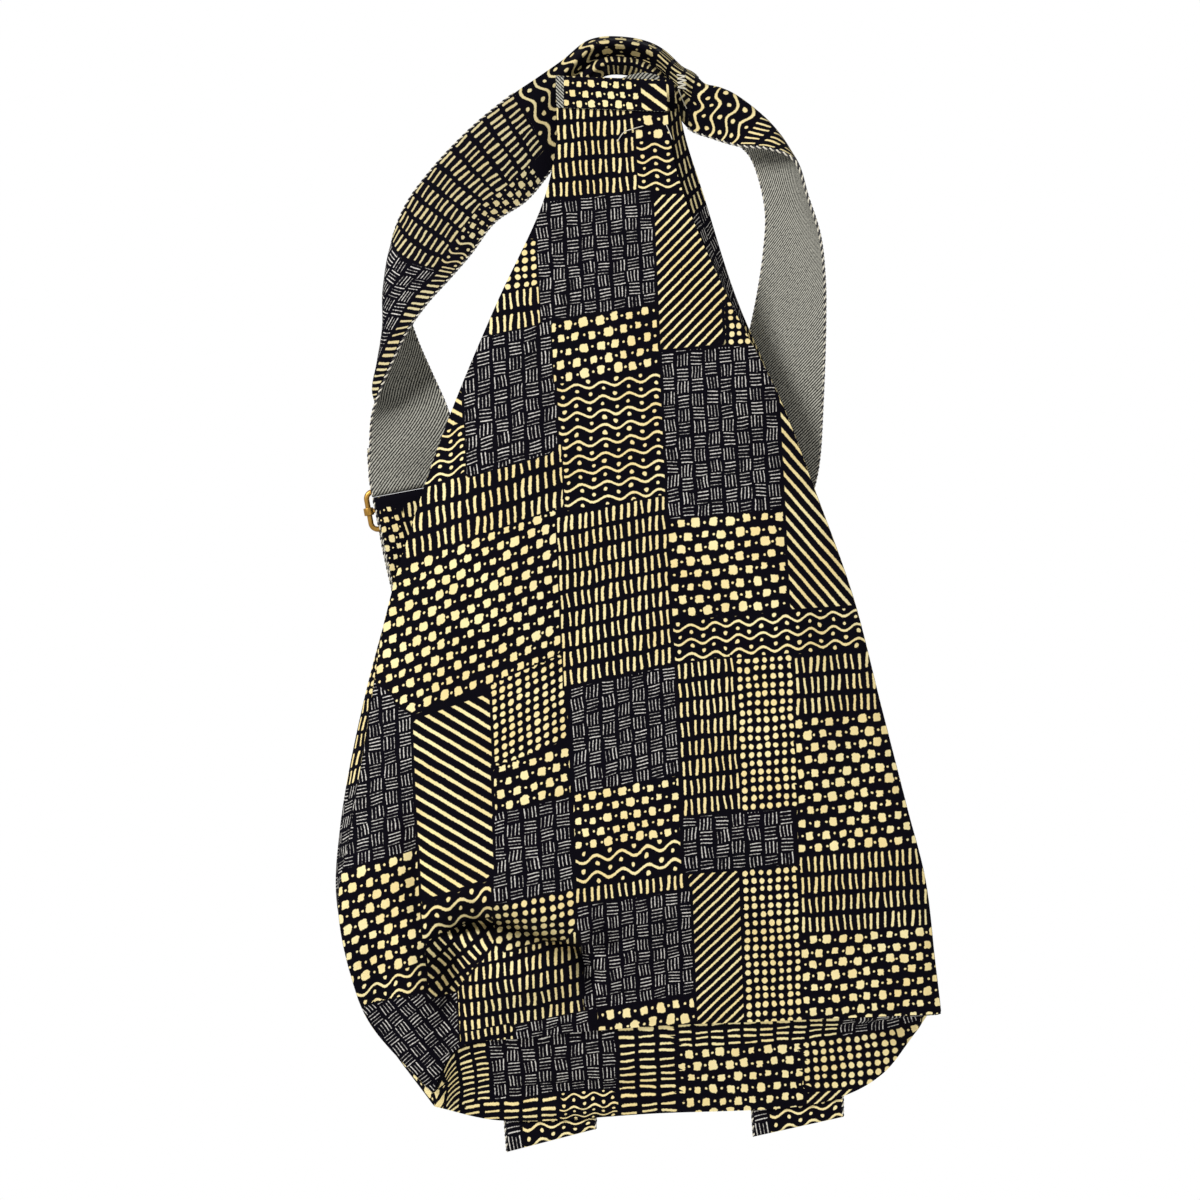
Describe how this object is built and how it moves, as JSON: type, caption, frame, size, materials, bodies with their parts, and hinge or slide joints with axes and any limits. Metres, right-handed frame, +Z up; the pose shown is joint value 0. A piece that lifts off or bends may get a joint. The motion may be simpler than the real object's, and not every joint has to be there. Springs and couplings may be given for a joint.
{
  "type": "backpack",
  "caption": "Teardrop cloth backpack of printed denim with an open slanted mouth, a hanging loop at the neck, twisted shoulder straps, wire sliders and folded lower straps.",
  "frame": {"origin": "underside of the hanging loop, where the bag is carried", "axes": "+X to the right seen from the front, +Y to the back, +Z up"},
  "size_m": [0.3273, 0.0631, 0.6118],
  "materials": {
    "printed_denim": "printed twill, grey on the reverse",
    "brass_wire": "drawn wire"
  },
  "bodies": {
    "bag": {"front_panel": "printed_denim", "back_panel": "printed_denim", "gusset": "printed_denim", "neck_band": "printed_denim", "hanging_loop": "printed_denim", "left_shoulder_strap": "printed_denim", "right_shoulder_strap": "printed_denim", "left_lower_strap": "printed_denim", "right_lower_strap": "printed_denim"},
    "left_slider": {"left_slider_frame": "brass_wire"},
    "left_bar": {"left_slider_bar": "brass_wire"},
    "right_slider": {"right_slider_frame": "brass_wire"},
    "right_bar": {"right_slider_bar": "brass_wire"}
  },
  "joints": [
    {"name": "left_slider_slide", "type": "slide", "parent": "bag", "child": "left_slider", "axis": [-0.1392, 0, 0.9903], "range_m": [-0.02, 0.05], "deforming": ["left_shoulder_strap", "left_lower_strap"]},
    {"name": "left_bar_slide", "type": "slide", "parent": "left_slider", "child": "left_bar", "axis": [-0.1392, 0, 0.9903], "range_m": [-0.0035, 0.0035], "deforming": ["left_lower_strap"]},
    {"name": "right_slider_slide", "type": "slide", "parent": "bag", "child": "right_slider", "axis": [-0.0174, 0, 0.9998], "range_m": [-0.02, 0.05], "deforming": ["right_shoulder_strap", "right_lower_strap"]},
    {"name": "right_bar_slide", "type": "slide", "parent": "right_slider", "child": "right_bar", "axis": [-0.0174, 0, 0.9998], "range_m": [-0.0035, 0.0035], "deforming": ["right_lower_strap"]}
  ]
}
